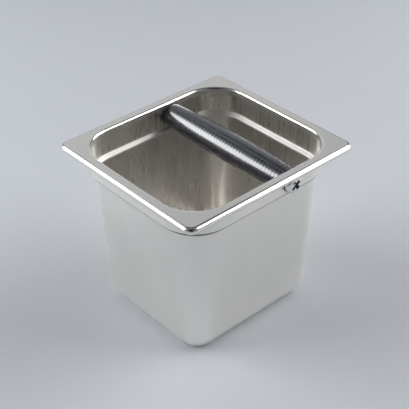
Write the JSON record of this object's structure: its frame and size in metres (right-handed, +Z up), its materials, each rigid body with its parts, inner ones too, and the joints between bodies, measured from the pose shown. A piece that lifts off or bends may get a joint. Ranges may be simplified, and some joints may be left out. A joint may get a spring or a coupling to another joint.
{
  "type": "espresso knock box",
  "caption": "Deep rectangular steel pan with a rolled rim and a ribbed rubber knock bar screwed across its mouth, for knocking spent coffee out of a filter holder.",
  "frame": {"origin": "centre of the underside of the pan's base", "axes": "+X along the knock bar, +Y towards the wall that the bar is nearer to, +Z up out of the pan"},
  "size_m": [0.162, 0.176, 0.15],
  "materials": {
    "pan_steel": "satin stainless steel sheet, polished rolled edge",
    "core_steel": "turned stainless steel rod",
    "sleeve_rubber": "glossy black moulded rubber with fine cross ribs",
    "screw_steel": "bright stainless steel screw",
    "washer_rubber": "plain black rubber"
  },
  "bodies": {
    "pan": {"pan": "pan_steel"},
    "knock_bar": {"knock_bar_core": "core_steel", "knock_bar_sleeve": "sleeve_rubber", "left_screw": "screw_steel", "right_screw": "screw_steel", "left_outer_washer": "washer_rubber", "right_outer_washer": "washer_rubber", "left_inner_washer": "washer_rubber", "right_inner_washer": "washer_rubber"}
  },
  "joints": [
    {"name": "knock_bar_turn", "type": "hinge", "parent": "pan", "child": "knock_bar", "pos_m": [0, 0.0245, 0.1366], "axis": [1, 0, 0], "continuous": true}
  ]
}
